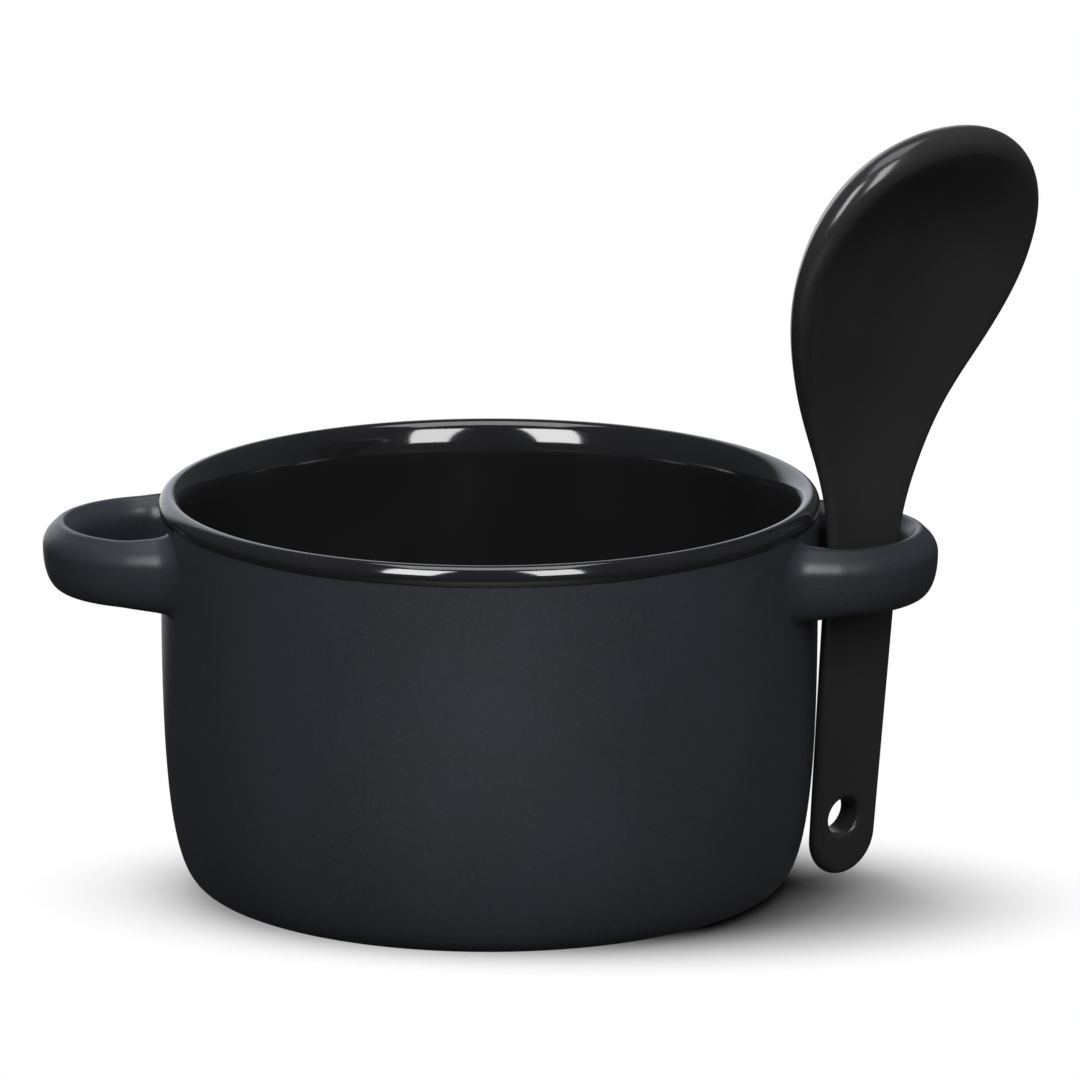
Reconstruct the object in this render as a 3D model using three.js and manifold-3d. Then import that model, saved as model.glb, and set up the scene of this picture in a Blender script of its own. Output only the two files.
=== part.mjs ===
import * as THREE from 'three';
import { mergeVertices } from 'three/addons/utils/BufferGeometryUtils.js';
import Module from 'manifold-3d';

// A soup mug with two loop handles, and the ceramic spoon that stands in one of them.
// Millimetres, +Z up. The origin is the centre of the underside and +X points at the spoon's loop.

// Mug body
const rimDiameter = 120;
const mugHeight = 72.4;
const baseDiameter = 102;
const cornerHeight = 58; // how far up the wall the rounding to the base reaches
const cornerFullness = 3.1; // 2 is an ellipse, more is squarer
const wallThickness = 4.9;
const floorThickness = 5.5;
const innerCornerHeight = 34;
const innerCornerReach = 12;
const innerCornerFullness = 2.6;
const lipRadius = 1.8; // of the lip's outer half
const lipInnerHeight = 7.5; // how far down the inside the rounding of the lip reaches

// Gloss glaze on the inside and over the lip
const glazeThickness = 0.5;
const glazeBandHeight = 3.3; // from the top of the lip to the glaze line on the outside
const glazeClearance = 0.05;

// Loop handles: straps bent into half rings, with the crest between outer and inner bulge
const handleWidth = 44; // across both legs, outside
const handleHeight = 12.3;
const handleOuterBulge = 3.4;
const handleInnerBulge = 1.8;
const handleBelowLip = 6.2; // from the top of the lip to the top of the strap
const rootFlareHeight = 0.9; // added above and below where the strap meets the wall
const rootFlareBulge = 1.2; // added to both bulges there
const rootFlareLength = 9; // how far from the wall the flare dies out
const handleSeatGap = 0.3; // between the strap's root and the wall

// Spoon, measured along its middle line from the end of the handle
const spoonLength = 147.5;
const spoonEndWidth = 15;
const spoonNeckWidth = 17;
const spoonBowlWidth = 54.9;
const spoonNeckAt = 63.2;
const spoonBowlWidestAt = 120;
const spoonTipFullness = 2.14; // 2 is an ellipse, more is squarer
const spoonHandleThickness = 5.4; // in the middle of its flat front and rounded back
const spoonHandleEdge = 2.8; // thickness of its rounded edges
const spoonBowlThickness = 3.6;
const spoonBowlDepth = 9;
const spoonBendAngle = 15.9; // the bowl tips towards its hollow side, degrees
const spoonBendFrom = 80;
const spoonBendTo = 100;
const spoonHoleDiameter = 7;
const spoonHoleInset = 11.4; // from the end of the handle to the hole's centre
const spoonHoleAside = -0.9; // the hole's centre, beside the middle line

// How the spoon stands in the loop
const spoonYaw = 43; // degrees from +X to the spoon's width
const spoonLean = 5.25; // degrees, towards its hollow side
const spoonFootAside = 1.7; // the end of the handle, beside the loop's middle
const spoonFootHeight = 0.4; // the end of the handle, just clear of the table
const spoonWallClearance = 0.3;
const spoonLoopPlay = 1.5; // between the spoon's outer edge and the strap

// Facets
const turnSegments = 60;
const cornerSteps = 8;
const innerCornerSteps = 6;
const lipSteps = 3;
const handleArcSteps = 18;
const handleSectionSteps = 16;
const spoonEndSteps = 6;
const spoonNeckSteps = 5;
const spoonBowlSteps = 13;
const spoonTipSteps = 8;
const spoonFaceSteps = 3;
const spoonEdgeSteps = 4;
const holeSegments = 24;
const mergeTolerance = 1e-4;

const wasm = await Module();
wasm.setup();

const rimRadius = rimDiameter / 2;
const lipMiddle = rimRadius - lipRadius;
const glazeLineHeight = mugHeight - glazeBandHeight;
const handleMiddle = mugHeight - handleBelowLip - handleHeight / 2;

const matteGlaze = new THREE.MeshStandardMaterial({ color: 0x2d2e34, roughness: 0.55, metalness: 0 });
const glossGlaze = new THREE.MeshStandardMaterial({ color: 0x171718, roughness: 0.1, metalness: 0 });
const spoonGlaze = new THREE.MeshStandardMaterial({ color: 0x252526, roughness: 0.2, metalness: 0 });

// A smooth step from 0 at the start to 1 at the end
function ease(value, start, end) {
  const t = THREE.MathUtils.clamp((value - start) / (end - start), 0, 1);
  return t * t * (3 - 2 * t);
}

// A quarter of a superellipse as [along, across] shares, from [1, 0] to [0, 1]
function superQuarter(fullness, steps) {
  const shares = [];
  for (let i = 0; i <= steps; i += 1) {
    const angle = (Math.PI / 2) * (i / steps);
    const along = Math.max(Math.cos(angle), 0) ** (2 / fullness);
    const across = Math.sin(angle) ** (2 / fullness);
    shares.push([i === steps ? 0 : along, across]);
  }
  return shares;
}

function turned(profile) {
  const geometry = new THREE.LatheGeometry(profile, turnSegments);
  geometry.rotateX(Math.PI / 2);
  return geometry;
}

// Skin over closed rings of equally many points, with a cap at each end
function loft(rings) {
  const count = rings[0].length;
  const points = rings.flat();
  const triangles = [];
  for (let i = 0; i + 1 < rings.length; i += 1) {
    for (let j = 0; j < count; j += 1) {
      const a = i * count + j;
      const b = i * count + ((j + 1) % count);
      triangles.push(a, b, a + count, b, b + count, a + count);
    }
  }
  const lastStart = (rings.length - 1) * count;
  const firstMiddle = points.length;
  points.push(middleOf(rings[0]));
  const lastMiddle = points.length;
  points.push(middleOf(rings.at(-1)));
  for (let j = 0; j < count; j += 1) {
    const next = (j + 1) % count;
    triangles.push(firstMiddle, next, j);
    triangles.push(lastMiddle, lastStart + j, lastStart + next);
  }
  const geometry = new THREE.BufferGeometry().setFromPoints(points);
  geometry.setIndex(triangles);
  return geometry;
}

function middleOf(ring) {
  const middle = new THREE.Vector3();
  ring.forEach((point) => middle.add(point));
  return middle.divideScalar(ring.length);
}

function solidOf(geometry) {
  const bare = geometry.clone();
  bare.deleteAttribute('normal');
  bare.deleteAttribute('uv');
  const merged = mergeVertices(bare, mergeTolerance);
  const corners = merged.index.array;
  const triVerts = [];
  for (let i = 0; i < corners.length; i += 3) {
    const [a, b, c] = corners.slice(i, i + 3);
    if (a !== b && b !== c && c !== a) {
      triVerts.push(a, b, c);
    }
  }
  const mesh = new wasm.Mesh({
    numProp: 3,
    vertProperties: new Float32Array(merged.attributes.position.array),
    triVerts: new Uint32Array(triVerts),
  });
  return new wasm.Manifold(mesh);
}

function cut(geometry, cutter) {
  const mesh = solidOf(geometry).subtract(solidOf(cutter)).getMesh();
  const result = new THREE.BufferGeometry();
  result.setAttribute('position', new THREE.BufferAttribute(mesh.vertProperties, 3));
  result.setIndex(new THREE.BufferAttribute(mesh.triVerts, 1));
  result.computeVertexNormals();
  return result;
}

function piece(name, geometry, material) {
  const mesh = new THREE.Mesh(geometry, material);
  mesh.name = name;
  return mesh;
}

// Mug body and its glaze

const cornerInset = rimRadius - baseDiameter / 2;

function wallRadius(height) {
  const along = THREE.MathUtils.clamp((cornerHeight - height) / cornerHeight, 0, 1);
  const across = (1 - along ** cornerFullness) ** (1 / cornerFullness);
  return rimRadius - cornerInset * (1 - across);
}

// The outside from the edge of the underside up to the end of the rounding
function outsideProfile(grown) {
  return superQuarter(cornerFullness, cornerSteps).map(([along, across]) => {
    const radius = rimRadius - cornerInset * (1 - across) + grown;
    return new THREE.Vector2(radius, cornerHeight * (1 - along));
  });
}

// The inside from the middle of the floor, up the wall and over the lip, moved into the clay by depth
function insideProfile(depth) {
  const floor = floorThickness - depth;
  const wall = rimRadius - wallThickness + depth;
  const profile = [new THREE.Vector2(0, floor)];
  superQuarter(innerCornerFullness, innerCornerSteps).forEach(([along, across]) => {
    const radius = wall - innerCornerReach * (1 - across);
    profile.push(new THREE.Vector2(radius, floor + innerCornerHeight * (1 - along)));
  });
  for (let i = 0; i <= lipSteps; i += 1) {
    const angle = (Math.PI / 2) * (i / lipSteps);
    const radius = lipMiddle - (lipMiddle - wall) * Math.cos(angle);
    const height = mugHeight - lipInnerHeight + (lipInnerHeight - depth) * Math.sin(angle);
    profile.push(new THREE.Vector2(radius, height));
  }
  for (let i = lipSteps - 1; i >= 0; i -= 1) {
    const angle = (Math.PI / 2) * (i / lipSteps);
    const radius = lipMiddle + (lipRadius - depth) * Math.cos(angle);
    const height = mugHeight - lipRadius + (lipRadius - depth) * Math.sin(angle);
    profile.push(new THREE.Vector2(radius, height));
  }
  profile.push(new THREE.Vector2(rimRadius - depth, glazeLineHeight));
  return profile;
}

function mugBody() {
  const claySide = insideProfile(glazeThickness + glazeClearance).reverse();
  const ledge = claySide.shift();
  const ledgeHeight = glazeLineHeight - glazeClearance;
  const profile = [
    new THREE.Vector2(0, 0),
    ...outsideProfile(0),
    new THREE.Vector2(rimRadius, ledgeHeight),
    new THREE.Vector2(ledge.x, ledgeHeight),
    ...claySide,
  ];
  return piece('mug_body', turned(profile), matteGlaze);
}

function glazeLining() {
  const profile = [...insideProfile(glazeThickness), ...insideProfile(0).reverse()];
  return piece('glaze_lining', turned(profile), glossGlaze);
}

// Spoon

const spoonHandleEndRadius = spoonEndWidth / 2;
const spoonTipLength = spoonLength - spoonBowlWidestAt;

function spoonHalfWidth(at) {
  const end = spoonEndWidth / 2;
  const neck = spoonNeckWidth / 2;
  if (at < spoonHandleEndRadius) {
    return Math.sqrt(end ** 2 - (end - at) ** 2);
  }
  if (at < spoonNeckAt) {
    return THREE.MathUtils.mapLinear(at, spoonHandleEndRadius, spoonNeckAt, end, neck);
  }
  const swell = spoonBowlWidth / 2 - neck;
  if (at < spoonBowlWidestAt) {
    return neck + swell * ease(at, spoonNeckAt, spoonBowlWidestAt);
  }
  const past = Math.min((at - spoonBowlWidestAt) / spoonTipLength, 1);
  return (spoonBowlWidth / 2) * (1 - past ** spoonTipFullness) ** (1 / spoonTipFullness);
}

// A size that runs from the handle's value at the neck to the bowl's value at its widest place
function handleToBowl(at, handleValue, bowlValue) {
  return THREE.MathUtils.lerp(handleValue, bowlValue, ease(at, spoonNeckAt, spoonBowlWidestAt));
}

function spoonEdgeRadius(at) {
  return Math.min(handleToBowl(at, spoonHandleEdge, spoonBowlThickness) / 2, spoonHalfWidth(at));
}

function spoonDish(at) {
  const past = THREE.MathUtils.clamp((at - spoonBowlWidestAt) / spoonTipLength, 0, 1);
  return spoonBowlDepth * ease(at, spoonNeckAt, spoonBowlWidestAt) * Math.sqrt(1 - past ** 2);
}

function spoonStations() {
  const leastWidthShare = 0.004; // keeps the first and the last ring open
  const stations = [];
  for (let i = 0; i < spoonEndSteps; i += 1) {
    const angle = (Math.PI / 2) * (i / spoonEndSteps);
    stations.push(spoonHandleEndRadius * (1 - Math.cos(angle) * (1 - leastWidthShare)));
  }
  for (let i = 0; i < spoonNeckSteps; i += 1) {
    stations.push(THREE.MathUtils.lerp(spoonHandleEndRadius, spoonNeckAt, i / spoonNeckSteps));
  }
  for (let i = 0; i < spoonBowlSteps; i += 1) {
    stations.push(THREE.MathUtils.lerp(spoonNeckAt, spoonBowlWidestAt, i / spoonBowlSteps));
  }
  for (let i = 0; i <= spoonTipSteps; i += 1) {
    const angle = (Math.PI / 2) * (i / spoonTipSteps);
    stations.push(spoonBowlWidestAt + spoonTipLength * Math.sin(angle) * (1 - leastWidthShare));
  }
  return stations;
}

// One section in its own plane: x across the spoon, y towards the hollow side
function spoonSection(at) {
  const edgeRadius = spoonEdgeRadius(at);
  const reach = Math.max(spoonHalfWidth(at) - edgeRadius, mergeTolerance);
  const dish = spoonDish(at);
  const narrowing = Math.min(reach / spoonHandleEndRadius, 1);
  const bulge = handleToBowl(at, spoonHandleThickness - spoonHandleEdge, 0) * narrowing;
  const normal = (across, depth) => Math.atan2(1, (-2 * depth * across) / reach ** 2);
  const facePoint = (across, depth, angle) => {
    const middle = new THREE.Vector2(across, -depth * (1 - (across / reach) ** 2));
    return middle.add(new THREE.Vector2(Math.cos(angle), Math.sin(angle)).multiplyScalar(edgeRadius));
  };
  const half = [];
  for (let i = 0; i <= spoonFaceSteps; i += 1) {
    const across = reach * (i / spoonFaceSteps);
    half.push(facePoint(across, dish, normal(across, dish)));
  }
  const frontAngle = normal(reach, dish);
  const backAngle = normal(reach, dish + bulge) - Math.PI;
  for (let i = 1; i < spoonEdgeSteps; i += 1) {
    half.push(facePoint(reach, 0, THREE.MathUtils.lerp(frontAngle, backAngle, i / spoonEdgeSteps)));
  }
  for (let i = spoonFaceSteps; i >= 0; i -= 1) {
    const across = reach * (i / spoonFaceSteps);
    half.push(facePoint(across, dish + bulge, normal(across, dish + bulge) - Math.PI));
  }
  const otherHalf = half.slice(1, -1).reverse().map(({ x, y }) => new THREE.Vector2(-x, y));
  return [...half, ...otherHalf];
}

// In the spoon's own frame: X across it, -Y towards its hollow side, Z along its handle
function spoonGeometry() {
  const bendAngle = THREE.MathUtils.degToRad(spoonBendAngle);
  const line = new THREE.Vector2();
  let before = 0;
  const rings = spoonStations().map((at) => {
    const bend = bendAngle * ease(at, spoonBendFrom, spoonBendTo);
    line.add(new THREE.Vector2(Math.sin(bend), Math.cos(bend)).multiplyScalar(at - before));
    before = at;
    return spoonSection(at).map(({ x, y }) => {
      const out = line.x + y * Math.cos(bend);
      const up = line.y - y * Math.sin(bend);
      return new THREE.Vector3(x, -out, up);
    });
  });
  const holeLength = 2 * spoonHandleThickness;
  const hole = new THREE.CylinderGeometry(
    spoonHoleDiameter / 2,
    spoonHoleDiameter / 2,
    holeLength,
    holeSegments,
  );
  hole.translate(spoonHoleAside, 0, spoonHoleInset);
  return cut(loft(rings), hole);
}

const yaw = THREE.MathUtils.degToRad(spoonYaw);
const lean = THREE.MathUtils.degToRad(spoonLean);
const spoonAcross = new THREE.Vector3(Math.cos(yaw), Math.sin(yaw), 0);
const spoonUp = new THREE.Vector3(
  Math.sin(lean) * Math.sin(yaw),
  -Math.sin(lean) * Math.cos(yaw),
  Math.cos(lean),
);

// The middle of the spoon's rounded edge at a station, with the foot at the loop's middle line
function spoonEdge(at, side) {
  const reach = spoonHalfWidth(at) - spoonEdgeRadius(at);
  const foot = new THREE.Vector3(0, spoonFootAside, spoonFootHeight);
  return foot.addScaledVector(spoonUp, at).addScaledVector(spoonAcross, side * reach);
}

// How far out the foot stands so that the spoon's inner edge just clears the wall up to the lip
function spoonFootOut() {
  let out = 0;
  for (let at = spoonHandleEndRadius; at < spoonLength; at += 1) {
    const edge = spoonEdge(at, -1);
    if (edge.z <= mugHeight + spoonEdgeRadius(at)) {
      const clear = wallRadius(edge.z) + spoonWallClearance + spoonEdgeRadius(at);
      out = Math.max(out, Math.sqrt(clear ** 2 - edge.y ** 2) - edge.x);
    }
  }
  return out;
}

const footOut = spoonFootOut();

function spoon() {
  const leaning = new THREE.Group();
  leaning.rotation.x = lean;
  leaning.add(piece('spoon', spoonGeometry(), spoonGlaze));
  const standing = new THREE.Group();
  standing.position.set(footOut, spoonFootAside, spoonFootHeight);
  standing.rotation.z = yaw;
  standing.add(leaning);
  return standing;
}

// Handles

// Half the loop's opening along its legs' direction, so that the spoon's outer edge fits with its play
function loopInnerReach() {
  const innerHalfWidth = handleWidth / 2 - handleOuterBulge - handleInnerBulge;
  let reach = 0;
  for (let at = spoonHandleEndRadius; at < spoonLength; at += 1) {
    const edge = spoonEdge(at, 1);
    const offMiddle = Math.abs(edge.z - handleMiddle);
    if (offMiddle <= handleHeight / 2) {
      const keepOff = spoonEdgeRadius(at) + spoonLoopPlay;
      const aside = edge.y / (innerHalfWidth - keepOff);
      const outward = footOut + edge.x - rimRadius;
      reach = Math.max(reach, keepOff + outward / Math.sqrt(1 - aside ** 2));
    }
  }
  return reach;
}

const crestReach = loopInnerReach() + handleInnerBulge;
const crestHalfWidth = handleWidth / 2 - handleOuterBulge;

// Points of the crest line with the strap's outward direction, from one root to the other
function handleStations() {
  const legHalf = handleWidth / 2 + rootFlareBulge;
  const legSink = rimRadius - Math.sqrt(rimRadius ** 2 - legHalf ** 2) + rootFlareBulge;
  const stations = [];
  for (let i = 0; i <= handleArcSteps; i += 1) {
    const angle = Math.PI * (i / handleArcSteps - 0.5);
    const out = Math.abs(angle) < Math.PI / 2 ? Math.cos(angle) : 0;
    const aside = Math.sin(angle);
    const point = new THREE.Vector3(
      rimRadius + crestReach * out,
      crestHalfWidth * aside,
      handleMiddle,
    );
    const outward = new THREE.Vector3(out / crestReach, aside / crestHalfWidth, 0).normalize();
    stations.push({ point, outward });
  }
  for (const end of [stations[0], stations.at(-1)]) {
    const point = end.point.clone().setX(rimRadius - legSink);
    const station = { point, outward: end.outward };
    if (end === stations[0]) {
      stations.unshift(station);
    } else {
      stations.push(station);
    }
  }
  return stations;
}

function handleGeometry() {
  const rings = handleStations().map(({ point, outward }) => {
    const fromWall = Math.hypot(point.x, point.y) - rimRadius;
    const flare = 1 - ease(fromWall, 0, rootFlareLength);
    const halfHeight = handleHeight / 2 + rootFlareHeight * flare;
    const ring = [];
    for (let i = 0; i < handleSectionSteps; i += 1) {
      const angle = 2 * Math.PI * (i / handleSectionSteps);
      const bulge = Math.sin(angle) > 0 ? handleOuterBulge : handleInnerBulge;
      const out = (bulge + rootFlareBulge * flare) * Math.sin(angle);
      const up = halfHeight * Math.cos(angle);
      ring.push(point.clone().addScaledVector(outward, out).setZ(point.z + up));
    }
    return ring;
  });
  const wall = [
    new THREE.Vector2(0, 0),
    ...outsideProfile(handleSeatGap),
    new THREE.Vector2(rimRadius + handleSeatGap, mugHeight),
    new THREE.Vector2(0, mugHeight),
  ];
  return cut(loft(rings), turned(wall));
}

const soupMug = new THREE.Group();
soupMug.add(mugBody());
soupMug.add(glazeLining());
soupMug.add(piece('right_handle', handleGeometry(), matteGlaze));
const leftHandle = piece('left_handle', handleGeometry(), matteGlaze);
leftHandle.rotation.z = Math.PI;
soupMug.add(leftHandle);
soupMug.add(spoon());

export default soupMug;
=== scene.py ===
import functools
import math

import bpy
from mathutils import Matrix, Vector


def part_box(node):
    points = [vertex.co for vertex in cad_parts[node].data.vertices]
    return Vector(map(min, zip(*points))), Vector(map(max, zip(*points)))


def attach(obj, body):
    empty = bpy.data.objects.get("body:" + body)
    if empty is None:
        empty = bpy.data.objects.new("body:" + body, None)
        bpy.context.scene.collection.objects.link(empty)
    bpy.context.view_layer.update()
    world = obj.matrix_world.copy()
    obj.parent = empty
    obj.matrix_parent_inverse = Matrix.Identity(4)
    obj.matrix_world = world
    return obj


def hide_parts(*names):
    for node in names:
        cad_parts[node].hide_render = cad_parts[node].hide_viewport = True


# A black ceramic soup mug with two loop handles, and the spoon that stands in one of them.
# Metres, +Z up. The origin is the centre of the underside and +X points at the spoon's loop.

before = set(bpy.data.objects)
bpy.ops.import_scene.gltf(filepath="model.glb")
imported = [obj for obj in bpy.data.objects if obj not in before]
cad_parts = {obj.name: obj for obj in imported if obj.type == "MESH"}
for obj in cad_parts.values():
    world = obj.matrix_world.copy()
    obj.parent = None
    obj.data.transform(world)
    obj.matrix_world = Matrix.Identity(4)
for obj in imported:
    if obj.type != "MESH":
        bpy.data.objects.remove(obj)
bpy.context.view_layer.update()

MM = 0.001

# Mug body
RIM_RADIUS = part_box("mug_body")[1].x
MUG_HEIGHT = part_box("glaze_lining")[1].z
BASE_RADIUS = 51 * MM
CORNER_HEIGHT = 58 * MM  # how far up the wall the rounding to the base reaches
CORNER_FULLNESS = 3.1  # 2 is an ellipse, more is squarer
WALL_THICKNESS = 4.9 * MM
FLOOR_THICKNESS = 5.5 * MM
INNER_CORNER_HEIGHT = 34 * MM
INNER_CORNER_REACH = 12 * MM
INNER_CORNER_FULLNESS = 2.6
LIP_OUTER_WIDTH = 1.6 * MM  # from the lip's crest to the outside
LIP_OUTER_HEIGHT = 2.5 * MM  # how far down the outside the rounding of the lip reaches
LIP_INNER_HEIGHT = 7.5 * MM  # how far down the inside it reaches

# Gloss glaze on the inside and over the lip
GLAZE_THICKNESS = 0.5 * MM
GLAZE_BAND_HEIGHT = 3.5 * MM  # from the top of the lip to the glaze line on the outside
GLAZE_PROUD = 0.25 * MM  # how far its outer band bulges out from the wall
GLAZE_EDGE = 0.06 * MM  # how far it still stands out at the glaze line
GLAZE_WAVE = 0.15 * MM  # how far the glaze line wanders up and down
GLAZE_WAVE_COUNTS = (3, 7, 13)  # waves around the mug, each smaller than the one before
CLAY_SINK_SHARE = 0.6  # how deep the clay's surface lies in the glaze, as a share of its thickness

# Loop handles: straps bent into half rings
HANDLE_HALF_WIDTH = 22 * MM  # across both legs, outside
HANDLE_HALF_HEIGHT = 6.15 * MM
HANDLE_OUTER_BULGE = 3.4 * MM
HANDLE_INNER_BULGE = 2.8 * MM
STRAP_EDGE_RADIUS = 1.2 * MM  # of the section's top edge
STRAP_SLOPE = math.radians(44)  # tilt of the slopes beside it
STRAP_SLOPE_LENGTH = 1.4 * MM
STRAP_SHOULDER_RADIUS = 4.6 * MM  # where the slopes turn into the sides
STRAP_SIDE_FULLNESS = 2.2  # of the sides below, 2 is an ellipse
ROOT_FLARE_HEIGHT = 0.8 * MM  # added above and below where the strap meets the wall
ROOT_FLARE_BULGE = 1.2 * MM  # added to both bulges there
ROOT_FLARE_LENGTH = 9 * MM  # how far from the wall the flare dies out
ROOT_FILLET_REACH = 3 * MM  # how far from the wall the smoothed clay at the root begins
ROOT_FILLET_WIDTH = 3 * MM  # how far that clay spreads to the sides
ROOT_FILLET_HEIGHT = 0.9 * MM  # how far it spreads up and down
ROOT_TOE = 0.8 * MM  # its thin edge goes on this far, just under the wall's surface
ROOT_TOE_SINK = 0.05 * MM
ROOT_SINK = 1.2 * MM  # how deep the strap's ends sit in the wall
ROOT_CLEARANCE = 1.15  # the plain strap begins at this multiple of ROOT_FILLET_REACH from the wall

# Spoon, measured along its middle line from the end of the handle
SPOON_LENGTH = 147.5 * MM
SPOON_END_HALF_WIDTH = 7.5 * MM
SPOON_NECK_HALF_WIDTH = 8.5 * MM
SPOON_BOWL_HALF_WIDTH = 27.45 * MM
SPOON_NECK_AT = 63.2 * MM
SPOON_BOWL_WIDEST_AT = 120 * MM
SPOON_TIP_LENGTH = SPOON_LENGTH - SPOON_BOWL_WIDEST_AT
SPOON_TIP_FULLNESS = 2.14
SPOON_HANDLE_THICKNESS = 5.4 * MM  # in the middle of its flat front and rounded back
SPOON_HANDLE_EDGE = 2.8 * MM  # thickness of its rounded edges
SPOON_RIM_THICKNESS = 4.6 * MM  # of the bowl's rounded rim, at its widest place
SPOON_TIP_THICKNESS = 7 * MM  # of the rim at the tip
SPOON_BOWL_DEPTH = 8.5 * MM
SPOON_DISH_FULLNESS = 2  # more makes the bottom of the dish wider
SPOON_DISH_ROUNDING = 1.4  # more makes the rim's inner shoulder softer
SPOON_BACK_FULLNESS = 3.4  # more makes the back of the bowl flatter and its sides steeper
SPOON_HANDLE_FULLNESS = 2  # the same for the back of the handle
SPOON_BEND_ANGLE = math.radians(15.9)  # the bowl tips towards its hollow side
SPOON_BEND_FROM = 80 * MM
SPOON_BEND_TO = 100 * MM
SPOON_HOLE_RADIUS = 3.5 * MM
SPOON_HOLE_INSET = 11.4 * MM  # from the end of the handle to the hole's centre
SPOON_HOLE_ASIDE = -0.9 * MM  # the hole's centre, beside the middle line
SPOON_HOLE_ROUNDING = 0.8 * MM  # of the hole's edges on the front and back faces
SPOON_HOLE_FLARE = math.radians(80)  # how far the rounding turns towards those faces
SPOON_YAW = math.radians(43)  # from +X to the spoon's width
SPOON_LEAN = math.radians(5.25)  # towards its hollow side

# Mesh fineness
TURN_SEGMENTS = 192
CORNER_STEPS = 28
INNER_CORNER_STEPS = 24
LIP_STEPS = 14
BAND_STEPS = 6
HANDLE_ARC_STEPS = 64
STRAP_TURN_STEPS = 12
FILLET_STEPS = 10
SPOON_END_STEPS = 16
SPOON_SIDE_STEPS = 90
SPOON_TIP_STEPS = 40
SPOON_FACE_STEPS = 24
SPOON_EDGE_STEPS = 16
SPOON_BEND_STEPS = 40
HOLE_SEGMENTS = 64
HOLE_ROUNDING_STEPS = 8
UNDERSIDE_SHARES = (0, 0.5, 0.9)  # rings on the underside, as shares of its radius
FLOOR_SHARES = (0.25, 0.5, 0.75)  # rings on the flat part of the inner floor
WALL_TOP_SHARES = (0.3, 0.6, 0.9, 0.97, 1)  # rings from the end of the corner up to the glaze band
END_TOLERANCE = 0.01 * MM  # corners this close to the spoon's lowest belong to the handle's end

# Glazes: linear colours, and the sizes of the noise that varies them
WHITE = (1, 1, 1, 1)
FINE_DETAIL = 3  # octaves of the finer noise
MATTE_DARK = (0.0210, 0.0219, 0.0269, 1)
MATTE_LIGHT = (0.0245, 0.0256, 0.0315, 1)
MATTE_CLOUD_SIZE = 28 * MM
MATTE_SPECKLE = (0.0322, 0.0336, 0.0397, 1)
MATTE_SPECKLE_SIZE = 0.7 * MM
MATTE_SPECKLE_RANGE = (0.5, 0.8)  # the levels of the noise between which speckle comes up
MATTE_ROUGHNESS = (0.30, 0.37)
MATTE_ROUGHNESS_SIZE = 1.6 * MM
MATTE_GRAIN_SIZE = 0.35 * MM
MATTE_GRAIN = (0.12, 0.05 * MM)  # strength and height of the bumps
MATTE_WAVE_SIZE = 9 * MM
MATTE_WAVE = (0.1, 0.2 * MM)
MATTE_SPECULAR = 0.42
GLOSS_CLOUD_SIZE = 20 * MM
GLOSS_ROUGHNESS_SIZE = 6 * MM
GLOSS_PEEL_SIZE = 2.2 * MM
GLOSS_PEEL = (0.05, 0.05 * MM)  # strength and height of the bumps
GLOSS_WAVE_SIZE = 14 * MM
GLOSS_WAVE = (0.05, 0.2 * MM)

# Camera
CAMERA_AZIMUTH = 3  # degrees, from looking along +Y
CAMERA_ELEVATION = 13.59
CAMERA_DISTANCE = 1597 * MM
CAMERA_ASIDE = 9.2 * MM  # the point looked at, to the right of the mug's axis
CAMERA_TARGET_HEIGHT = 62.93 * MM
CAMERA_LENS = 291.8  # millimetres
SENSOR_WIDTH = 36  # millimetres
CAMERA_CLIP_END = 20  # metres

# Lights and floor
BACKDROP_AZIMUTH = CAMERA_AZIMUTH + 196  # degrees, behind the object and a little to the left
BACKDROP_ELEVATION = 15
BACKDROP_EDGE = math.cos(math.radians(30))  # reflections show white within this angle of it,
BACKDROP_FULL = math.cos(math.radians(14))  # in full within this one
SHADOW_CENTRE = Vector((15, -15, 0)) * MM  # the middle of the oval in which the floor keeps the shadow
SHADOW_OVAL = Vector((97, 51, 1000)) * MM  # its half axes; the upright one only has to be long
SHADOW_FADE = (0.45, 1.06)  # shares of the oval between which the shadow fades into plain white
GLOW_CENTRE = Vector((14, -240, 0)) * MM  # the middle of a glow on the floor that only reflections show
GLOW_RADIUS = 190 * MM
COOL_WHITE = (0.93, 0.97, 1.06, 1)  # the surround's colour in reflections
PAINTED_SHADE_REACH = 12 * MM  # how far the painted contact shade beside the base reaches
FLOOR_HALF_SIZE = 4  # metres
FLOOR_DROP = 0.05 * MM  # below the mug's underside
LIGHT_AIM = Vector((0, 0, 40)) * MM  # the point that the lights face


def ease(value, start, end):
    """A smooth step from 0 at the start to 1 at the end."""
    t = min(max((value - start) / (end - start), 0), 1)
    return t * t * (3 - 2 * t)


def mix(a, b, share):
    return a + (b - a) * share


def super_quarter(fullness, steps):
    """A quarter of a superellipse as (along, across) shares, from (1, 0) to (0, 1)."""
    shares = []
    for i in range(steps + 1):
        angle = math.pi / 2 * i / steps
        along = max(math.cos(angle), 0) ** (2 / fullness)
        across = math.sin(angle) ** (2 / fullness)
        shares.append((0 if i == steps else along, across))
    return shares


# Mesh helpers

def mesh_piece(name, points, faces):
    mesh = bpy.data.meshes.new(name)
    mesh.from_pydata(points, [], faces)
    mesh.validate()
    mesh.update()
    piece = bpy.data.objects.new(name, mesh)
    bpy.context.scene.collection.objects.link(piece)
    return piece


def ring_faces(ring_count, count):
    """Quads between closed rings of equally many points."""
    faces = []
    for i in range(ring_count - 1):
        start = i * count
        after = start + count
        for j in range(count):
            k = (j + 1) % count
            faces.append((start + j, start + k, after + k, after + j))
    return faces


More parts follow.
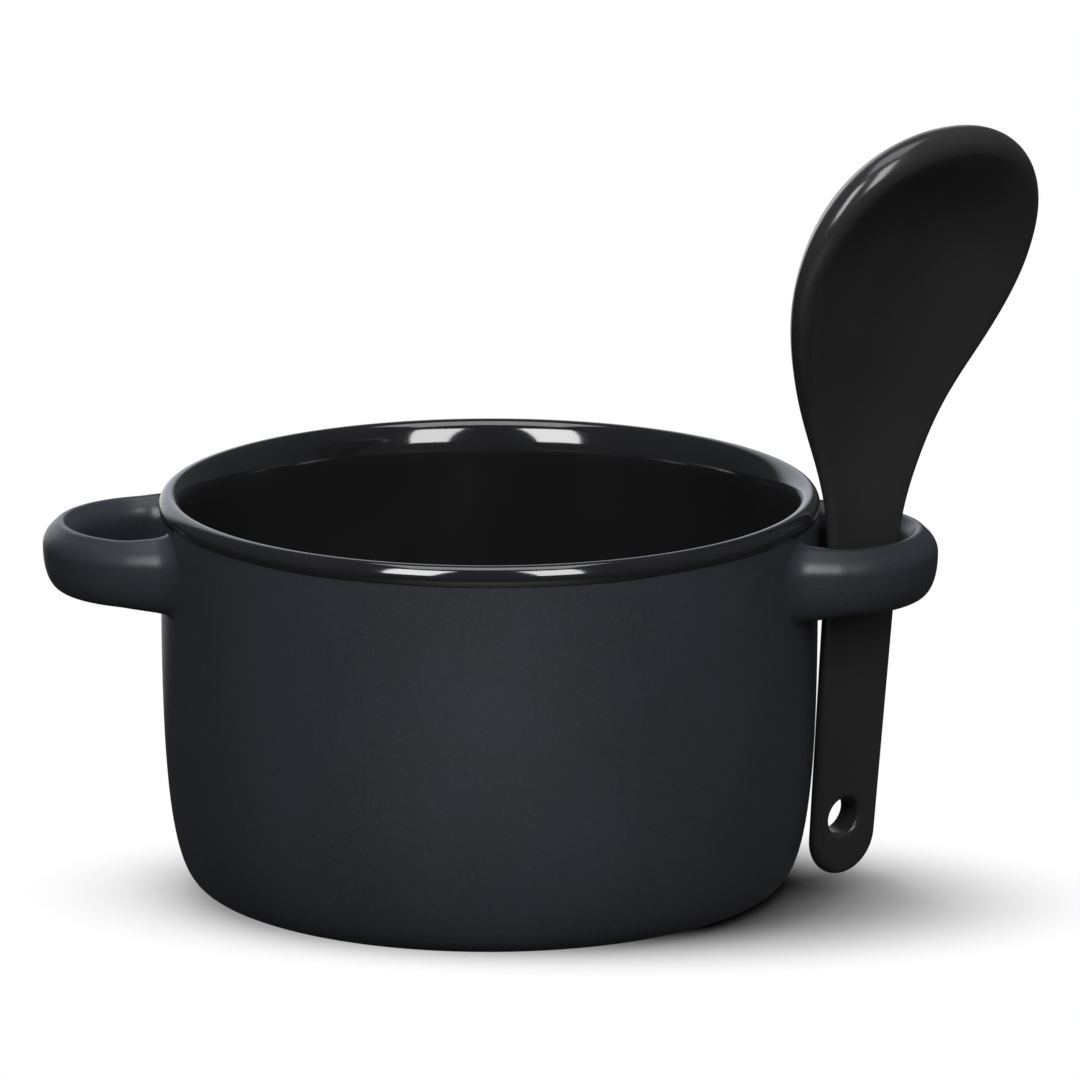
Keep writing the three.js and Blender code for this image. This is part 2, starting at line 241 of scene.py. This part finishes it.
def loft(name, rings):
    """A skin over closed rings of equally many points, with a fan at each end."""
    count = len(rings[0])
    points = [point for ring in rings for point in ring]
    faces = ring_faces(len(rings), count)
    last = (len(rings) - 1) * count
    for ring, start, flip in ((rings[0], 0, True), (rings[-1], last, False)):
        middle = len(points)
        points.append(sum(ring, Vector()) / count)
        for j in range(count):
            a = start + j
            b = start + (j + 1) % count
            faces.append((middle, b, a) if flip else (middle, a, b))
    return mesh_piece(name, points, faces)


def turned(name, profile_at):
    """Turns a profile round Z. profile_at(angle) gives (radius, height) points, both ends on the axis."""
    rings = []
    for i in range(TURN_SEGMENTS):
        angle = 2 * math.pi * i / TURN_SEGMENTS
        inner = profile_at(angle)[1:-1]
        rings.append([Vector((r * math.cos(angle), r * math.sin(angle), z)) for r, z in inner])
    first_height = profile_at(0)[0][1]
    last_height = profile_at(0)[-1][1]
    count = len(rings[0])
    points = [point for ring in rings for point in ring]
    faces = []
    for i in range(TURN_SEGMENTS):
        a = i * count
        b = (i + 1) % TURN_SEGMENTS * count
        for j in range(count - 1):
            faces.append((a + j, b + j, b + j + 1, a + j + 1))
    bottom = len(points)
    points.append(Vector((0, 0, first_height)))
    top = len(points)
    points.append(Vector((0, 0, last_height)))
    for i in range(TURN_SEGMENTS):
        a = i * count
        b = (i + 1) % TURN_SEGMENTS * count
        faces.append((bottom, b, a))
        faces.append((top, a + count - 1, b + count - 1))
    return mesh_piece(name, points, faces)


# Mug body and its glaze

def wall_radius(height):
    along = min(max((CORNER_HEIGHT - height) / CORNER_HEIGHT, 0), 1)
    across = (1 - along ** CORNER_FULLNESS) ** (1 / CORNER_FULLNESS)
    return mix(BASE_RADIUS, RIM_RADIUS, across)


def outside_profile():
    """From the edge of the underside up to the end of the rounding."""
    return [
        (mix(BASE_RADIUS, RIM_RADIUS, across), CORNER_HEIGHT * (1 - along))
        for along, across in super_quarter(CORNER_FULLNESS, CORNER_STEPS)
    ]


def inside_profile(depth, proud=0):
    """From the middle of the floor, up the wall and over the lip, moved into the clay by depth."""
    floor = FLOOR_THICKNESS - depth
    wall = RIM_RADIUS - WALL_THICKNESS + depth
    lip_middle = RIM_RADIUS - LIP_OUTER_WIDTH
    profile = [(0, floor)]
    flat = wall - INNER_CORNER_REACH
    profile += [(flat * share, floor) for share in FLOOR_SHARES]
    for along, across in super_quarter(INNER_CORNER_FULLNESS, INNER_CORNER_STEPS):
        radius = wall - INNER_CORNER_REACH * (1 - across)
        profile.append((radius, floor + INNER_CORNER_HEIGHT * (1 - along)))
    for i in range(LIP_STEPS + 1):
        angle = math.pi / 2 * i / LIP_STEPS
        radius = lip_middle - (lip_middle - wall) * math.cos(angle)
        rise = (LIP_INNER_HEIGHT - depth) * math.sin(angle)
        profile.append((radius, MUG_HEIGHT - LIP_INNER_HEIGHT + rise))
    for i in reversed(range(LIP_STEPS)):
        angle = math.pi / 2 * i / LIP_STEPS
        radius = lip_middle + (LIP_OUTER_WIDTH - depth + proud) * math.cos(angle)
        rise = (LIP_OUTER_HEIGHT - depth) * math.sin(angle)
        profile.append((radius, MUG_HEIGHT - LIP_OUTER_HEIGHT + rise))
    return profile


def glaze_line(angle):
    """Height of the glaze's lower edge on the outside, which wanders a little."""
    wave = sum(math.sin(n * angle + n) / n for n in GLAZE_WAVE_COUNTS)
    return MUG_HEIGHT - GLAZE_BAND_HEIGHT + GLAZE_WAVE * GLAZE_WAVE_COUNTS[0] * wave


def mug_body():
    clay_side = inside_profile(GLAZE_THICKNESS * CLAY_SINK_SHARE)[::-1]
    under_band = MUG_HEIGHT - LIP_OUTER_HEIGHT - GLAZE_EDGE
    underside = [(BASE_RADIUS * share, 0) for share in UNDERSIDE_SHARES]
    wall_top = [(RIM_RADIUS, mix(CORNER_HEIGHT, under_band, share)) for share in WALL_TOP_SHARES]
    profile = [*underside, *outside_profile(), *wall_top, *clay_side]
    return turned("mug_body_fine", lambda angle: profile)


def glaze_lining():
    def profile_at(angle):
        line = glaze_line(angle)
        band = []
        for i in range(1, BAND_STEPS + 1):
            share = i / BAND_STEPS
            proud = mix(GLAZE_PROUD, GLAZE_EDGE, share ** 2)
            band.append((RIM_RADIUS + proud, mix(MUG_HEIGHT - LIP_OUTER_HEIGHT, line, share)))
        edge = [(RIM_RADIUS, line - GLAZE_EDGE), (RIM_RADIUS - GLAZE_THICKNESS, line - GLAZE_EDGE)]
        coat = inside_profile(GLAZE_THICKNESS)
        return [*inside_profile(0, GLAZE_PROUD), *band, *edge, *coat[::-1]]

    lining = turned("glaze_lining_fine", profile_at)
    lining.data.flip_normals()
    return lining


# Handles

def root_steps():
    """(distance from the wall, share of the spread) for the rings of a root, from the wall outwards."""
    toe = 1 + ROOT_TOE / ROOT_FILLET_WIDTH
    steps = [(-ROOT_SINK, toe), (-ROOT_TOE_SINK, toe)]
    for i in range(FILLET_STEPS + 1):
        angle = math.pi / 2 * i / FILLET_STEPS
        steps.append((ROOT_FILLET_REACH * (1 - math.cos(angle)), 1 - math.sin(angle)))
    return steps


def handle_rings(reach, middle):
    """Rings of a strap on the +X side, from one root to the other; reach is the crest's, from the rim."""
    crest_half = HANDLE_HALF_WIDTH - HANDLE_OUTER_BULGE
    near_root = [root_ring(-1, step, crest_half, middle) for step in root_steps()]
    far_root = [root_ring(1, step, crest_half, middle) for step in reversed(root_steps())]
    arc_start = math.acos(ROOT_CLEARANCE * ROOT_FILLET_REACH / reach)
    strap = []
    for i in range(HANDLE_ARC_STEPS + 1):
        angle = mix(-arc_start, arc_start, i / HANDLE_ARC_STEPS)
        crest = Vector((RIM_RADIUS + reach * math.cos(angle), crest_half * math.sin(angle), middle))
        outward = Vector((math.cos(angle) / reach, math.sin(angle) / crest_half, 0)).normalized()
        strap.append(strap_ring(crest, outward))
    return [*near_root, *strap, *far_root]


@functools.cache
def strap_side():
    """One side of the strap's section from top to bottom, as shares of its bulge and half height."""
    points = []
    for i in range(STRAP_TURN_STEPS + 1):
        tilt = mix(math.pi / 2, STRAP_SLOPE, i / STRAP_TURN_STEPS)
        points.append((STRAP_EDGE_RADIUS * math.cos(tilt), STRAP_EDGE_RADIUS * (math.sin(tilt) - 1)))
    slope_end = points[-1][0] + STRAP_SLOPE_LENGTH * math.sin(STRAP_SLOPE)
    slope_foot = points[-1][1] - STRAP_SLOPE_LENGTH * math.cos(STRAP_SLOPE)
    for i in range(STRAP_TURN_STEPS + 1):
        tilt = mix(STRAP_SLOPE, 0, i / STRAP_TURN_STEPS)
        out = slope_end + STRAP_SHOULDER_RADIUS * (math.cos(tilt) - math.cos(STRAP_SLOPE))
        up = slope_foot + STRAP_SHOULDER_RADIUS * (math.sin(tilt) - math.sin(STRAP_SLOPE))
        points.append((out, up))
    width, widest = points[-1]
    below = 2 * HANDLE_HALF_HEIGHT + widest
    for along, across in super_quarter(STRAP_SIDE_FULLNESS, 2 * STRAP_TURN_STEPS)[1:]:
        points.append((width * along, widest - below * across))
    return [(out / width, 1 + up / HANDLE_HALF_HEIGHT) for out, up in points]


def strap_section(from_wall):
    """The strap's section as (outward, up) offsets from its crest line."""
    flare = 1 - ease(from_wall, 0, ROOT_FLARE_LENGTH)
    half_height = HANDLE_HALF_HEIGHT + ROOT_FLARE_HEIGHT * flare
    outer = HANDLE_OUTER_BULGE + ROOT_FLARE_BULGE * flare
    inner = HANDLE_INNER_BULGE + ROOT_FLARE_BULGE * flare
    side = strap_side()
    outer_side = [(outer * out, half_height * up) for out, up in side]
    inner_side = [(-inner * out, half_height * up) for out, up in reversed(side[1:-1])]
    return outer_side + inner_side


def strap_ring(crest, outward):
    from_wall = math.hypot(crest.x, crest.y) - RIM_RADIUS
    return [crest + outward * out + Vector((0, 0, up)) for out, up in strap_section(from_wall)]


def root_ring(side, step, crest_half, middle):
    """A ring that follows the wall at a distance, spread by the smoothed clay."""
    distance, spread = step
    ring = []
    for out, up in strap_section(max(distance, 0)):
        length = math.hypot(out, up)
        y = side * (crest_half + out + out / length * ROOT_FILLET_WIDTH * spread)
        z = middle + up + up / length * ROOT_FILLET_HEIGHT * spread
        x = math.sqrt((wall_radius(z) + distance) ** 2 - y ** 2)
        ring.append(Vector((x, y, z)))
    return ring


def handle(name, node):
    low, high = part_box(node)
    reach = max(high.x, -low.x) - RIM_RADIUS - HANDLE_OUTER_BULGE
    piece = loft(name, handle_rings(reach, (low.z + high.z) / 2))
    if low.x < 0:
        piece.data.transform(Matrix.Rotation(math.pi, 4, "Z"))
    return piece


# Spoon

def handle_to_bowl(at, handle_value, bowl_value):
    return mix(handle_value, bowl_value, ease(at, SPOON_NECK_AT, SPOON_BOWL_WIDEST_AT))


def spoon_half_width(at):
    if at > SPOON_NECK_AT:
        return handle_to_bowl(at, SPOON_NECK_HALF_WIDTH, SPOON_BOWL_HALF_WIDTH)
    share = (at - SPOON_END_HALF_WIDTH) / (SPOON_NECK_AT - SPOON_END_HALF_WIDTH)
    return mix(SPOON_END_HALF_WIDTH, SPOON_NECK_HALF_WIDTH, share)


def spoon_tip_reach(angle):
    """From the middle of the bowl's widest place to the outline, at an angle up from across."""
    across = (math.cos(angle) / SPOON_BOWL_HALF_WIDTH) ** SPOON_TIP_FULLNESS
    along = (math.sin(angle) / SPOON_TIP_LENGTH) ** SPOON_TIP_FULLNESS
    return (across + along) ** (-1 / SPOON_TIP_FULLNESS)


def spoon_rays():
    """Half sections of the right side from the handle's end to the tip, as (start, angle, length).

    Each starts on the middle line. They fan out round the handle's end and round the tip.
    """
    rays = []
    for i in range(SPOON_END_STEPS):
        angle = -math.pi / 2 * (1 - i / SPOON_END_STEPS)
        rays.append((SPOON_END_HALF_WIDTH, angle, SPOON_END_HALF_WIDTH))
    for i in range(SPOON_SIDE_STEPS):
        at = mix(SPOON_END_HALF_WIDTH, SPOON_BOWL_WIDEST_AT, i / SPOON_SIDE_STEPS)
        rays.append((at, 0, spoon_half_width(at)))
    for i in range(SPOON_TIP_STEPS + 1):
        angle = math.pi / 2 * i / SPOON_TIP_STEPS
        rays.append((SPOON_BOWL_WIDEST_AT, angle, spoon_tip_reach(angle)))
    return rays


def spoon_profile(at, angle, length):
    """A half section as (distance from the middle line, front) points, from front to back."""
    middle = handle_to_bowl(at, SPOON_HANDLE_EDGE, SPOON_RIM_THICKNESS) / 2
    edge = mix(middle, SPOON_TIP_THICKNESS / 2, max(math.sin(angle), 0))
    reach = length - edge
    dish = handle_to_bowl(at, 0, SPOON_BOWL_DEPTH)
    back = handle_to_bowl(at, SPOON_HANDLE_THICKNESS - SPOON_HANDLE_EDGE, SPOON_BOWL_DEPTH)
    fullness = handle_to_bowl(at, SPOON_HANDLE_FULLNESS, SPOON_BACK_FULLNESS)
    shares = [math.sin(math.pi / 2 * i / SPOON_FACE_STEPS) for i in range(SPOON_FACE_STEPS + 1)]

    def wall(share):
        return mix(middle, edge, share ** 2)

    def back_normal(share):
        slope = fullness * back * share ** (fullness - 1) / reach
        return math.atan2(-1, slope)

    points = []
    for share in shares:
        hollow = (1 - share ** SPOON_DISH_FULLNESS) ** SPOON_DISH_ROUNDING
        points.append((reach * share, wall(share) - dish * hollow))
    last_angle = back_normal(1)
    for i in range(1, SPOON_EDGE_STEPS):
        angle = mix(math.pi / 2, last_angle, i / SPOON_EDGE_STEPS)
        points.append((reach + edge * math.cos(angle), edge * math.sin(angle)))
    for share in reversed(shares):
        angle = back_normal(share)
        depth = back * (1 - share ** fullness)
        across = reach * share + wall(share) * math.cos(angle)
        points.append((across, wall(share) * math.sin(angle) - depth))
    points[-1] = (0, points[-1][1])
    return points


def bend_at(along):
    return SPOON_BEND_ANGLE * ease(along, SPOON_BEND_FROM, SPOON_BEND_TO)


@functools.cache
def middle_line(along):
    """Where the bent middle line is at this length along it, as (out, up)."""
    step = along / SPOON_BEND_STEPS
    bends = [bend_at(step * (i + 0.5)) for i in range(SPOON_BEND_STEPS)]
    out = sum(math.sin(bend) for bend in bends) * step
    up = sum(math.cos(bend) for bend in bends) * step
    return out, up


def bent(across, along, front):
    """A point of the bent spoon in its own frame: X across, -Y to the hollow side, Z along the handle."""
    out, up = middle_line(along)
    bend = bend_at(along)
    return Vector((across, -out - front * math.cos(bend), up - front * math.sin(bend)))


def spoon_blank():
    """The spoon without its hole: half sections all round, joined along the middle line."""
    right = spoon_rays()
    rays = [(1, *ray) for ray in right] + [(-1, *ray) for ray in right[-2:0:-1]]
    points = []
    middles = {}

    def number(point):
        points.append(point)
        return len(points) - 1

    sections = []
    for side, start, angle, length in rays:
        profile = spoon_profile(start, angle, length)
        if start not in middles:
            fronts = (profile[0][1], profile[-1][1])
            middles[start] = [number(bent(0, start, front)) for front in fronts]
        section = [middles[start][0]]
        for distance, front in profile[1:-1]:
            across = side * distance * math.cos(angle)
            section.append(number(bent(across, start + distance * math.sin(angle), front)))
        section.append(middles[start][1])
        sections.append(section)
    faces = []
    for section, after in zip(sections, [*sections[1:], sections[0]]):
        for i in range(len(section) - 1):
            corners = (section[i + 1], after[i + 1], after[i], section[i])
            faces.append(tuple(dict.fromkeys(corners)))
    return mesh_piece("spoon_fine", points, faces)


def hole_cutter():
    """A spool whose ends flare, so that the hole's edges come out rounded."""
    front = SPOON_HANDLE_EDGE / 2
    back = -(SPOON_HANDLE_THICKNESS - SPOON_HANDLE_EDGE / 2)
    rounding = SPOON_HOLE_ROUNDING
    profile = []
    for side, face in ((-1, back), (1, front)):
        flare = []
        for i in range(HOLE_ROUNDING_STEPS + 1):
            angle = SPOON_HOLE_FLARE * i / HOLE_ROUNDING_STEPS
            radius = SPOON_HOLE_RADIUS + rounding * (1 - math.cos(angle))
            flare.append((radius, face - side * rounding * (1 - math.sin(angle))))
        flare.append((flare[-1][0] + rounding, face + side * rounding))
        profile += flare if side > 0 else flare[::-1]
    rings = []
    for radius, depth in profile:
        ring = []
        for i in range(HOLE_SEGMENTS):
            angle = 2 * math.pi * i / HOLE_SEGMENTS
            across = SPOON_HOLE_ASIDE + radius * math.cos(angle)
            ring.append(Vector((across, -depth, SPOON_HOLE_INSET + radius * math.sin(angle))))
        rings.append(ring)
    return loft("hole_cutter", rings)


def cut(piece, cutter):
    modifier = piece.modifiers.new("cut", "BOOLEAN")
    modifier.operation = "DIFFERENCE"
    modifier.solver = "EXACT"
    modifier.object = cutter
    graph = bpy.context.evaluated_depsgraph_get()
    mesh = bpy.data.meshes.new_from_object(piece.evaluated_get(graph))
    piece.modifiers.clear()
    piece.data = mesh
    bpy.data.objects.remove(cutter)


def spoon_foot():
    """The middle of the end of the handle, found on the frame's spoon."""
    up = spoon_turn() @ Vector((0, 0, 1))
    corners = [vertex.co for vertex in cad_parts["spoon"].data.vertices]
    lowest = min(corner @ up for corner in corners)
    end = [corner for corner in corners if corner @ up < lowest + END_TOLERANCE]
    return sum(end, Vector()) / len(end)


def spoon_turn():
    return Matrix.Rotation(SPOON_YAW, 3, "Z") @ Matrix.Rotation(SPOON_LEAN, 3, "X")


def spoon():
    piece = spoon_blank()
    cut(piece, hole_cutter())
    piece.data.transform(Matrix.Translation(spoon_foot()) @ spoon_turn().to_4x4())
    return piece


# Materials

class Nodes:
    """Short names for making and linking the nodes of a material or of the world."""

    def __init__(self, tree):
        self.tree = tree

    def fill(self, socket, value):
        """Links an output to the socket, or sets the socket to a plain value."""
        if isinstance(value, bpy.types.NodeSocket):
            self.tree.links.new(value, socket)
        else:
            socket.default_value = value

    def place(self, kind="Object"):
        return self.tree.nodes.new("ShaderNodeTexCoord").outputs[kind]

    def noise(self, size, detail=2.0):
        """Noise whose features are about this many metres across."""
        node = self.tree.nodes.new("ShaderNodeTexNoise")
        node.inputs["Scale"].default_value = 1 / size
        node.inputs["Detail"].default_value = detail
        self.fill(node.inputs["Vector"], self.place())
        return node.outputs["Fac"]

    def spread(self, value, low, high, start=0.3, end=0.7):
        """Maps start..end smoothly to low..high."""
        node = self.tree.nodes.new("ShaderNodeMapRange")
        node.interpolation_type = "SMOOTHSTEP"
        for socket, number in (("From Min", start), ("From Max", end), ("To Min", low), ("To Max", high)):
            node.inputs[socket].default_value = number
        self.fill(node.inputs["Value"], value)
        return node.outputs["Result"]

    def blend(self, share, first, second, kind="Float"):
        """The first value or colour where share is 0, the second where it is 1."""
        node = self.tree.nodes.new("ShaderNodeMix")
        node.data_type = {"Float": "FLOAT", "Color": "RGBA"}[kind]
        sockets = {socket.identifier: socket for socket in node.inputs}
        self.fill(sockets["Factor_Float"], share)
        self.fill(sockets["A_" + kind], first)
        self.fill(sockets["B_" + kind], second)
        return [socket for socket in node.outputs if socket.identifier == "Result_" + kind][0]

    def math(self, operation, first, second):
        node = self.tree.nodes.new("ShaderNodeMath")
        node.operation = operation
        self.fill(node.inputs[0], first)
        self.fill(node.inputs[1], second)
        return node.outputs[0]

    def vector(self, operation, output, first, second=(0, 0, 0)):
        node = self.tree.nodes.new("ShaderNodeVectorMath")
        node.operation = operation
        self.fill(node.inputs[0], first)
        self.fill(node.inputs[1], second)
        return node.outputs[output]

    def bump(self, height, strength, distance, under=None):
        node = self.tree.nodes.new("ShaderNodeBump")
        node.inputs["Strength"].default_value = strength
        node.inputs["Distance"].default_value = distance
        self.fill(node.inputs["Height"], height)
        if under is not None:
            self.fill(node.inputs["Normal"], under)
        return node.outputs["Normal"]


def new_material(name):
    """A material with its node helper and its shader's inputs."""
    material = bpy.data.materials.new(name)
    material.use_nodes = True
    tree = material.node_tree
    return material, Nodes(tree), tree.nodes["Principled BSDF"].inputs


def matte_glaze():
    """Satin bluish black with faint speckle, clouding and a powdery surface."""
    material, n, shader = new_material("matte_glaze")
    cloud = n.spread(n.noise(MATTE_CLOUD_SIZE), 0, 1)
    speckle = n.spread(n.noise(MATTE_SPECKLE_SIZE, FINE_DETAIL), 0, 1, *MATTE_SPECKLE_RANGE)
    clouded = n.blend(cloud, MATTE_DARK, MATTE_LIGHT, "Color")
    n.fill(shader["Base Color"], n.blend(speckle, clouded, MATTE_SPECKLE, "Color"))
    n.fill(shader["Roughness"], n.spread(n.noise(MATTE_ROUGHNESS_SIZE, FINE_DETAIL), *MATTE_ROUGHNESS))
    grain = n.bump(n.noise(MATTE_GRAIN_SIZE, FINE_DETAIL), *MATTE_GRAIN)
    n.fill(shader["Normal"], n.bump(n.noise(MATTE_WAVE_SIZE), *MATTE_WAVE, under=grain))
    shader["Specular IOR Level"].default_value = MATTE_SPECULAR
    return material


def gloss(name, dark, light, roughness, specular):
    """A gloss black glaze: slight clouding, slow waves and a soft orange-peel surface."""
    material, n, shader = new_material(name)
    cloud = n.spread(n.noise(GLOSS_CLOUD_SIZE), 0, 1)
    n.fill(shader["Base Color"], n.blend(cloud, dark, light, "Color"))
    n.fill(shader["Roughness"], n.spread(n.noise(GLOSS_ROUGHNESS_SIZE, FINE_DETAIL), *roughness))
    peel = n.bump(n.noise(GLOSS_PEEL_SIZE), *GLOSS_PEEL)
    n.fill(shader["Normal"], n.bump(n.noise(GLOSS_WAVE_SIZE), *GLOSS_WAVE, under=peel))
    shader["Specular IOR Level"].default_value = specular
    return material


MATTE_GLAZE = matte_glaze()
GLOSS_GLAZE = gloss(
    "gloss_glaze",
    dark=(0.0075, 0.0076, 0.0081, 1),
    light=(0.0095, 0.0097, 0.0103, 1),
    roughness=(0.07, 0.085),
    specular=0.85,
)
SPOON_GLAZE = gloss(
    "spoon_glaze",
    dark=(0.0195, 0.0195, 0.0197, 1),
    light=(0.0228, 0.0228, 0.0230, 1),
    roughness=(0.17, 0.22),
    specular=0.5,
)

PIECES = bpy.data.collections.new("pieces")  # some lights are limited to what is in it


def dress(piece, material, body, node):
    PIECES.objects.link(piece)
    piece.data.materials.clear()
    piece.data.materials.append(material)
    piece.data.polygons.foreach_set("use_smooth", [True] * len(piece.data.polygons))
    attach(piece, body)
    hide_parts(node)


dress(mug_body(), MATTE_GLAZE, "mug", "mug_body")
dress(glaze_lining(), GLOSS_GLAZE, "mug", "glaze_lining")
dress(handle("right_handle_fine", "right_handle"), MATTE_GLAZE, "mug", "right_handle")
dress(handle("left_handle_fine", "left_handle"), MATTE_GLAZE, "mug", "left_handle")
dress(spoon(), SPOON_GLAZE, "spoon", "spoon")


# Stage, lights and camera

def towards(azimuth, elevation):
    """Direction from the object to something at this azimuth and elevation, in degrees."""
    a = math.radians(azimuth)
    e = math.radians(elevation)
    return Vector((math.sin(a) * math.cos(e), -math.cos(a) * math.cos(e), math.sin(e)))


def make_camera():
    data = bpy.data.cameras.new("camera")
    data.lens = CAMERA_LENS
    data.sensor_width = SENSOR_WIDTH
    data.clip_end = CAMERA_CLIP_END
    camera = bpy.data.objects.new("camera", data)
    bpy.context.scene.collection.objects.link(camera)
    back = towards(CAMERA_AZIMUTH, CAMERA_ELEVATION)
    right = towards(CAMERA_AZIMUTH + 90, 0)
    target = right * CAMERA_ASIDE + Vector((0, 0, CAMERA_TARGET_HEIGHT))
    camera.location = target + back * CAMERA_DISTANCE
    camera.rotation_mode = "QUATERNION"
    camera.rotation_quaternion = (-back).to_track_quat("-Z", "Y")
    bpy.context.scene.camera = camera


def softbox(name, azimuth, elevation, distance, width, height, radiance):
    """A rectangular light, its azimuth from the camera's; radiance is how bright its face looks."""
    data = bpy.data.lights.new(name, "AREA")
    data.shape = "RECTANGLE"
    data.size = width
    data.size_y = height
    data.energy = radiance * math.pi * width * height
    light = bpy.data.objects.new(name, data)
    bpy.context.scene.collection.objects.link(light)
    direction = towards(CAMERA_AZIMUTH + azimuth, elevation)
    light.location = LIGHT_AIM + direction * distance
    light.rotation_mode = "QUATERNION"
    light.rotation_quaternion = (-direction).to_track_quat("-Z", "Y")
    return light


def backdrop_share(n, direction):
    """1 straight behind the object, 0 to the sides and in front."""
    unit = n.vector("NORMALIZE", "Vector", direction)
    behind = n.vector("DOT_PRODUCT", "Value", unit, towards(BACKDROP_AZIMUTH, BACKDROP_ELEVATION))
    return n.spread(behind, 0, 1, BACKDROP_EDGE, BACKDROP_FULL)


def ray_kinds(n):
    """Outputs that are 1 for the camera's own rays, and 1 for reflected rays."""
    rays = n.tree.nodes.new("ShaderNodeLightPath").outputs
    reflected = n.math("MAXIMUM", rays["Is Glossy Ray"], rays["Is Transmission Ray"])
    return rays["Is Camera Ray"], reflected


def make_world(ambient, studio):
    """A white surround. Reflections show it behind the object, and a dim studio elsewhere."""
    world = bpy.data.worlds.new("surround")
    world.use_nodes = True
    bpy.context.scene.world = world
    n = Nodes(world.node_tree)
    direct, reflected = ray_kinds(n)
    mirrored = n.blend(backdrop_share(n, n.place("Generated")), studio, 1.0)
    level = n.blend(reflected, ambient, mirrored)
    background = n.tree.nodes["Background"].inputs
    n.fill(background["Color"], n.blend(reflected, WHITE, COOL_WHITE, "Color"))
    n.fill(background["Strength"], n.blend(direct, level, 1.0))


def make_floor(colour, bounce, studio, glow):
    """A pale floor that keeps the lamps' shadow near the object, adds painted contact shade beside the
    base and is plain white farther out.

    Reflections show it so only behind the object. In front they show a glow, and a dim studio elsewhere.
    """
    half = FLOOR_HALF_SIZE
    corners = [(-half, -half, 0), (half, -half, 0), (half, half, 0), (-half, half, 0)]
    floor = mesh_piece("floor", corners, [(0, 1, 2, 3)])
    floor.location.z = -FLOOR_DROP
    material, n, shader = new_material("pale_floor")
    direct, reflected = ray_kinds(n)
    mirrored = n.math("MULTIPLY", reflected, backdrop_share(n, n.place()))
    seen = n.math("MAXIMUM", direct, mirrored)
    from_centre = n.vector("SUBTRACT", "Vector", n.place(), SHADOW_CENTRE)
    in_oval = n.vector("DIVIDE", "Vector", from_centre, SHADOW_OVAL)
    far = n.spread(n.vector("LENGTH", "Value", in_oval), 0, 1, *SHADOW_FADE)
    # Painted contact shade: ambient occlusion darkens the floor's colour beside the base
    painted_contact_shade = n.tree.nodes.new("ShaderNodeAmbientOcclusion")
    painted_contact_shade.inputs["Distance"].default_value = PAINTED_SHADE_REACH
    shade = n.math("MULTIPLY", n.blend(far, colour, 0.0), painted_contact_shade.outputs["AO"])
    n.fill(shader["Base Color"], n.blend(seen, n.blend(reflected, bounce, 0.0), shade))
    from_glow = n.vector("DISTANCE", "Value", n.place(), GLOW_CENTRE)
    dim = n.math("MULTIPLY", reflected, n.spread(from_glow, glow, studio, 0, GLOW_RADIUS))
    n.fill(shader["Emission Strength"], n.blend(seen, dim, far))
    shader["Emission Color"].default_value = WHITE
    shader["Roughness"].default_value = 1
    shader["Specular IOR Level"].default_value = 0
    floor.data.materials.append(material)


make_camera()
make_world(ambient=0.1, studio=0.08)
make_floor(colour=0.92, bounce=0.1, studio=0.03, glow=0.4)

softbox("overhead", azimuth=0, elevation=86, distance=1.2, width=0.8, height=0.7, radiance=2.8)
left_key = softbox(
    "left_key", azimuth=-138, elevation=55, distance=1.2, width=0.9, height=0.9, radiance=2.3
)
left_strip = softbox(
    "left_strip", azimuth=-27.5, elevation=36, distance=0.9, width=0.27, height=0.57, radiance=10.6
)
right_strip = softbox(
    "right_strip", azimuth=24.5, elevation=36, distance=0.9, width=0.24, height=0.57, radiance=9.5
)
front_fill = softbox(
    "front_fill", azimuth=25, elevation=25, distance=1.2, width=0.9, height=0.9, radiance=0.9
)
right_fill = softbox(
    "right_fill", azimuth=110, elevation=30, distance=1.2, width=0.9, height=0.9, radiance=1.2
)
back_fill = softbox(
    "back_fill", azimuth=180, elevation=35, distance=1.2, width=1.4, height=0.9, radiance=3.2
)

# The key and the fills don't show in reflections
for light in (left_key, front_fill, right_fill, back_fill):
    light.visible_glossy = False

# The strips and the fills cast no light on the floor
for light in (left_strip, right_strip, front_fill, right_fill, back_fill):
    light.light_linking.receiver_collection = PIECES

bpy.context.scene.view_settings.view_transform = "Standard"
